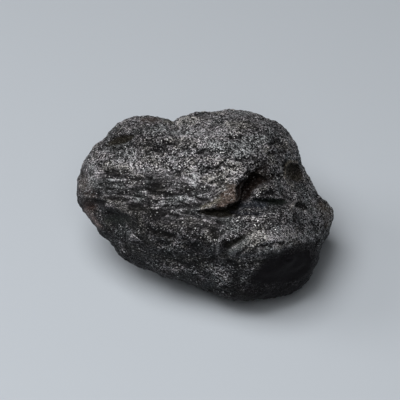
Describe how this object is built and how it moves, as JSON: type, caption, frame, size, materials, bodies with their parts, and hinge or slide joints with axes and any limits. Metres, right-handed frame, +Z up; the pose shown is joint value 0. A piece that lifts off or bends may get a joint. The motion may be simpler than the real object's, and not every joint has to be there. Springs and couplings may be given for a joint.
{
  "type": "tektite",
  "caption": "Rounded lump of dark natural glass with a notched top, an overhanging crevice and fine drawn-out layers, resting on a small flat spot.",
  "frame": {"origin": "centre of the stone's bounding box, on the plane that it rests on", "axes": "+X along the stone's length, towards its blunt right end; +Y away from the crevice side; +Z up from the resting spot"},
  "size_m": [0.0558, 0.045, 0.0346],
  "materials": {
    "tektite_glass": "rough, pitted natural surface with small glossy glints; near-black and opaque"
  },
  "bodies": {
    "root": {"tektite": "tektite_glass"}
  },
  "joints": []
}
